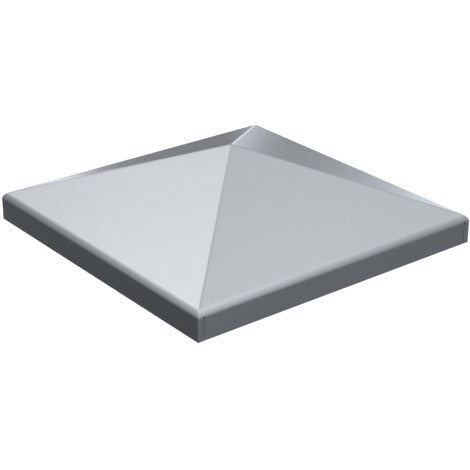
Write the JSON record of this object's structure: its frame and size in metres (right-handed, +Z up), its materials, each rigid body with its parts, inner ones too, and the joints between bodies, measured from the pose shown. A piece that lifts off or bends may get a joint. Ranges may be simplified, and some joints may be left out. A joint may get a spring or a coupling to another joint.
{
  "type": "fence post cap",
  "caption": "Shallow square pyramid cap of satin sheet metal with rounded eaves and short skirts, for a square post.",
  "frame": {"origin": "centre of the skirts' bottom rim", "axes": "+Z up towards the peak, front (a full-width skirt) towards -Y, right towards +X"},
  "size_m": [0.105, 0.105, 0.0292],
  "materials": {
    "sheet": "satin, anodised",
    "weld": "as welded",
    "rubber": "matte",
    "adhesive": "matte acrylic foam"
  },
  "bodies": {
    "root": {"panel_front": "sheet", "panel_right": "sheet", "panel_back": "sheet", "panel_left": "sheet", "peak_weld": "weld", "hip_weld_front_right": "weld", "corner_weld_front_right": "weld", "hip_weld_back_right": "weld", "corner_weld_back_right": "weld", "hip_weld_back_left": "weld", "corner_weld_back_left": "weld", "hip_weld_front_left": "weld", "corner_weld_front_left": "weld", "seat_pad_front_right": "rubber", "seat_pad_back_right": "rubber", "seat_pad_back_left": "rubber", "seat_pad_front_left": "rubber", "adhesive_strip_front": "adhesive", "adhesive_strip_right": "adhesive", "adhesive_strip_back": "adhesive", "adhesive_strip_left": "adhesive"}
  },
  "joints": []
}
